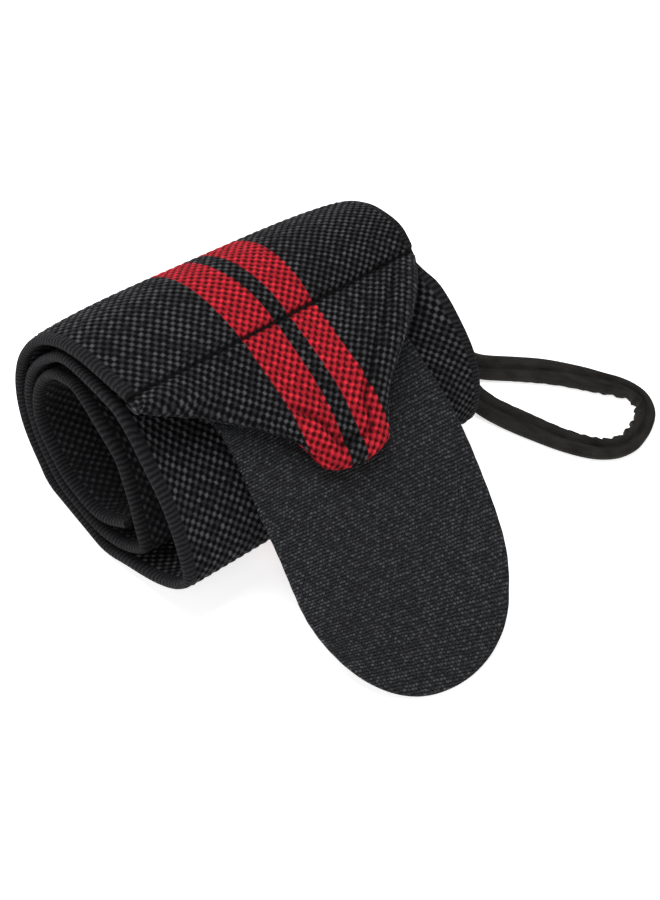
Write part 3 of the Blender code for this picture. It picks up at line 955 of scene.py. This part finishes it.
def model_stitch():
    """One stitch as a short plump thread that dips at both ends, along X."""
    bpy.ops.object.select_all(action="DESELECT")
    bpy.ops.mesh.primitive_cylinder_add(
        vertices=8, radius=0.00019, depth=STITCH_LENGTH, rotation=(0.0, math.pi / 2, 0.0))
    stitch = bpy.context.object
    bpy.ops.object.transform_apply(rotation=True)
    bpy.ops.object.mode_set(mode="EDIT")
    for place in (-0.0006, 0.0, 0.0006):
        bpy.ops.mesh.select_all(action="SELECT")
        bpy.ops.mesh.bisect(plane_co=(place, 0.0, 0.0), plane_no=(1.0, 0.0, 0.0))
    bpy.ops.object.mode_set(mode="OBJECT")
    for vertex in stitch.data.vertices:
        share = abs(vertex.co.x) / (STITCH_LENGTH / 2)
        taper = 1.0 - 0.55 * share**3
        vertex.co.y *= taper
        vertex.co.z = vertex.co.z * taper - 0.00030 * share**2
    stitch.data.shade_smooth()
    return stitch


def copies(name, model, places, material):
    """One piece made of a model's copies at the given places, each a matrix."""
    count = len(model.data.vertices)
    points = np.empty(count * 3)
    model.data.vertices.foreach_get("co", points)
    points = np.hstack([points.reshape(-1, 3), np.ones((count, 1))])
    polygons = [list(face.vertices) for face in model.data.polygons]
    moved = [(points @ np.array(place).T)[:, :3] for place in places]
    faces = [
        [index + shift * count for index in polygon]
        for shift in range(len(moved)) for polygon in polygons]
    bpy.data.objects.remove(model)
    return new_piece(name, np.vstack(moved), faces, material)


def placing(point, ahead, upward):
    """A matrix that lays a model's X ahead and its Z up at a point."""
    ahead = Vector(ahead).normalized()
    aside = Vector(upward).cross(ahead).normalized()
    turn = Matrix((ahead, aside, ahead.cross(aside))).transposed()
    return Matrix.Translation(Vector(point) + ROLL_START) @ turn.to_4x4()


def make_seams():
    """Sews the line across the point's base and the line inside its folded edge."""
    aside = np.linspace(-1.0, 1.0, 401)
    shape = BandShape(aside)
    places = np.linspace(0.0, shape.seam_at + 0.004, 180)
    points, normals, x, _, edge, _, _, run = band_fields(shape, places, aside)
    lines = [seam_across(points, normals, x, run), seam_inside(points, normals, x, edge, run)]
    spots = []
    for line, upward in lines:
        lengths = run_lengths(line)
        for start in np.arange(0.0009, lengths[-1] - 0.0011, STITCH_PITCH):
            ends = read_at(lengths, line, np.array([start, start + 0.0006]))
            lift = read_at(lengths, upward, np.array([start]))[0]
            spots.append(placing(ends[0] - lift * STITCH_SINK, ends[1] - ends[0], lift))
    thread = thread_material("seam_thread", tuple(colours().thread_black), 0.8)
    seams = copies("seam_stitches", model_stitch(), spots, thread)
    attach(seams, "root")
    return seams


def seam_across(points, normals, x, run):
    row = int(np.argmin(np.abs(run[:, 0])))
    keep = np.abs(x[row]) < sizes().band_width / 2 - 0.0016
    return points[row][keep], normals[row][keep]


def seam_inside(points, normals, x, edge, run):
    """The line at the seam's inset from the folded edge, round the tip, from side to side."""
    inset = sizes().seam_inset
    line = []
    upward = []
    for side in (-1, 1):
        part = []
        for row in range(len(points)):
            if run[row, 0] >= -0.0175 or edge[row].max() < inset:
                continue
            columns = np.where((x[row] * side >= 0.0) & (edge[row] >= inset))[0]
            if len(columns):
                column = columns[0] if side < 0 else columns[-1]
                part.append((points[row, column], normals[row, column]))
        part = part[::-1] if side < 0 else part
        line += [point for point, _ in part]
        upward += [normal for _, normal in part]
    return np.array(line), np.array(upward)


def model_hook():
    """One nylon hook: a thin stem whose end bends over, pointing down."""
    bpy.ops.object.select_all(action="DESELECT")
    bpy.ops.mesh.primitive_cylinder_add(vertices=5, radius=0.00010, depth=0.0003)
    hook = bpy.context.object
    bpy.ops.object.mode_set(mode="EDIT")
    bpy.ops.mesh.select_mode(type="FACE")
    bpy.ops.mesh.select_all(action="DESELECT")
    shape = bmesh.from_edit_mesh(hook.data)
    lowest = min(shape.faces, key=lambda face: face.calc_center_median().z)
    lowest.select_set(True)
    shape.faces.active = lowest
    bmesh.update_edit_mesh(hook.data)
    for ahead, down, size in (
            (0.00006, -0.00013, 0.9), (0.00016, -0.00004, 0.85), (0.00012, 0.00008, 0.7)):
        bpy.ops.mesh.extrude_region_move(TRANSFORM_OT_translate={"value": (ahead, 0.0, down)})
        bpy.ops.transform.resize(value=(size, size, size))
    bpy.ops.object.mode_set(mode="OBJECT")
    return hook


def make_hooks():
    """Covers the tab's underside with hooks, in rows that face by turns each way."""
    size = sizes()
    shape = TabShape()
    spots = []
    rows = np.arange(HOOKS_RIM, shape.total - HOOKS_RIM, size.hook_pitch)
    centres, across, upward = shape.at(rows)
    for number, along in enumerate(rows):
        half = float(shape.half_width(np.array([along + HOOKS_RIM]))[0])
        reach = half * tab_swell(along) - HOOKS_RIM
        if reach <= 0.0 or centres[number, 1] > HOOKS_FROM_Y:
            continue
        shift = size.hook_pitch / 2 * (number % 2)
        level = TAB_FACE - size.tab_thickness - HOOKS_SINK - tip_droop(along / shape.total)
        for x in np.arange(-reach + shift, reach, size.hook_pitch):
            point = centres[number] + across[number] * x + upward[number] * level
            ahead = across[number] * (1 if number % 2 else -1)
            spots.append(placing(point, ahead, upward[number]))
    hooks = copies("tab_hooks", model_hook(), spots, hook_material())
    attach(hooks, "root")
    return hooks


def make_thread_ends():
    """Loose ends of thread at the point's near corner."""
    strands = []
    corner = np.array(THREADS_AT)
    for number in range(THREAD_COUNT):
        swing = math.sin(number * 2.4)
        reach = 0.0018 + 0.0009 * abs(math.cos(number * 1.7))
        start = corner + np.array([0.0004 * number, -0.0003 * (number % 3), -0.0004])
        heading = np.array([-0.35 + 0.35 * swing, -0.70, 0.10 + 0.35 * math.cos(number * 1.9)])
        strands.append([
            start + heading * reach * share
            + np.array([0.0004 * math.sin(share * 2.5 + number), 0.0, -0.0010 * share**2])
            for share in np.linspace(0.0, 1.0, 9)])
    data = bpy.data.curves.new("thread_ends", "CURVE")
    data.dimensions = "3D"
    data.bevel_depth = 0.00010
    data.bevel_resolution = 2
    data.use_fill_caps = True
    for strand in strands:
        line = data.splines.new("POLY")
        line.points.add(len(strand) - 1)
        for point, place in zip(line.points, strand):
            point.co = (*(Vector(place) + ROLL_START), 1.0)
    ends = bpy.data.objects.new("thread_ends", data)
    bpy.context.scene.collection.objects.link(ends)
    bpy.ops.object.select_all(action="DESELECT")
    bpy.context.view_layer.objects.active = ends
    ends.select_set(True)
    bpy.ops.object.convert(target="MESH")
    ends = bpy.context.object
    bpy.ops.object.mode_set(mode="EDIT")
    bpy.ops.mesh.select_all(action="SELECT")
    bpy.ops.mesh.remove_doubles(threshold=0.00001)
    bpy.ops.object.mode_set(mode="OBJECT")
    outwards(ends)
    ends.data.materials.append(thread_material("loose_thread", (0.016, 0.016, 0.018), 1.2))
    ends.data.shade_smooth()
    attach(ends, "root")
    return ends


class WRAP_OT_stage(bpy.types.Operator):
    """Adds the pale floor, the soft lights and the camera"""

    bl_idname = "wrap.stage"
    bl_label = "Stage"

    def execute(self, context):
        make_floor()
        make_lights()
        make_camera()
        return {"FINISHED"}


def make_floor():
    bpy.ops.mesh.primitive_plane_add(size=6.0, location=(0.0, 0.0, 0.0))
    floor = bpy.context.object
    floor.name = "floor"
    bench = Bench("floor_paper")
    coords = bench.node("ShaderNodeTexCoord").outputs["Object"]
    grain = bench.noise(coords, 60.0, 3.0)
    base = bench.shade((0.90, 0.90, 0.90), 0.99 + grain * 0.02)
    floor.data.materials.append(bench.finish(base, 0.9, None, specular=0.1))
    bench.shader.inputs["Emission Color"].default_value = (1.0, 1.0, 1.0, 1.0)
    bench.shader.inputs["Emission Strength"].default_value = 0.60


def add_light(name, place, size, power):
    """A soft round light that points at the wrap."""
    data = bpy.data.lights.new(name, "AREA")
    data.shape = "DISK"
    data.size = size
    data.energy = power
    light = bpy.data.objects.new(name, data)
    light.location = place
    light.rotation_mode = "QUATERNION"
    light.rotation_quaternion = (Vector(place) - LIT_PLACE).to_track_quat("Z", "Y")
    bpy.context.scene.collection.objects.link(light)


def make_lights():
    bpy.context.scene.view_settings.view_transform = "Standard"
    world = bpy.data.worlds.new("studio")
    bpy.context.scene.world = world
    world.use_nodes = True
    sky = world.node_tree.nodes["Background"].inputs
    sky["Color"].default_value = (1.0, 1.0, 1.0, 1.0)
    sky["Strength"].default_value = 0.30
    add_light("key_light", (-0.20, 0.30, 0.80), 0.70, 7.5)
    add_light("fill_light", (-0.50, -0.30, 0.45), 0.45, 2.2)


def make_camera():
    data = bpy.data.cameras.new("camera")
    data.lens = CAMERA_LENS
    data.sensor_width = 36.0
    data.clip_start = 0.01
    data.clip_end = 20.0
    camera = bpy.data.objects.new("camera", data)
    right, up, ahead = Vector(CAMERA_RIGHT), Vector(CAMERA_UP), Vector(CAMERA_AHEAD)
    turn = Matrix((right, up, -ahead)).transposed()
    camera.matrix_world = Matrix.Translation(CAMERA_PLACE) @ turn.to_4x4()
    bpy.context.scene.collection.objects.link(camera)
    bpy.context.scene.camera = camera


class WRAP_OT_band(bpy.types.Operator):
    """Lays the woven band round the roll, with its folded point"""

    bl_idname = "wrap.band"
    bl_label = "Woven band"

    def execute(self, context):
        make_band()
        return {"FINISHED"}


class WRAP_OT_tab(bpy.types.Operator):
    """Lays the hook tab out from under the point"""

    bl_idname = "wrap.tab"
    bl_label = "Hook tab"

    def execute(self, context):
        make_tab()
        return {"FINISHED"}


class WRAP_OT_loop(bpy.types.Operator):
    """Lays the thumb loop's strap from the roll's far end and back"""

    bl_idname = "wrap.loop"
    bl_label = "Thumb loop"

    def execute(self, context):
        make_loop()
        return {"FINISHED"}


class WRAP_OT_hooks(bpy.types.Operator):
    """Covers the tab's underside with hooks"""

    bl_idname = "wrap.hooks"
    bl_label = "Hooks"

    def execute(self, context):
        make_hooks()
        return {"FINISHED"}


class WRAP_OT_seams(bpy.types.Operator):
    """Sews the point's seams, stitch by stitch, and leaves their loose ends"""

    bl_idname = "wrap.seams"
    bl_label = "Seams"

    def execute(self, context):
        make_seams()
        make_thread_ends()
        return {"FINISHED"}


class WRAP_PT_panel(bpy.types.Panel):
    bl_idname = "WRAP_PT_panel"
    bl_label = "Wrist wrap"
    bl_space_type = "VIEW_3D"
    bl_region_type = "UI"
    bl_category = "Wrist wrap"

    def draw(self, context):
        for group in (context.scene.wrap_sizes, context.scene.wrap_colours):
            for name in group.__annotations__:
                self.layout.prop(group, name)
        for operator in OPERATORS:
            self.layout.operator(operator.bl_idname)


OPERATORS = (
    WRAP_OT_stage, WRAP_OT_band, WRAP_OT_tab, WRAP_OT_hooks, WRAP_OT_loop, WRAP_OT_seams)
CLASSES = (WrapSizes, WrapColours, *OPERATORS, WRAP_PT_panel)


def register():
    for item in CLASSES:
        bpy.utils.register_class(item)
    bpy.types.Scene.wrap_sizes = PointerProperty(type=WrapSizes)
    bpy.types.Scene.wrap_colours = PointerProperty(type=WrapColours)


def unregister():
    del bpy.types.Scene.wrap_colours
    del bpy.types.Scene.wrap_sizes
    for item in reversed(CLASSES):
        bpy.utils.unregister_class(item)


def main():
    register()
    bpy.ops.wrap.stage()
    bpy.ops.wrap.band()
    bpy.ops.wrap.tab()
    bpy.ops.wrap.hooks()
    bpy.ops.wrap.loop()
    bpy.ops.wrap.seams()


if __name__ == "__main__":
    main()
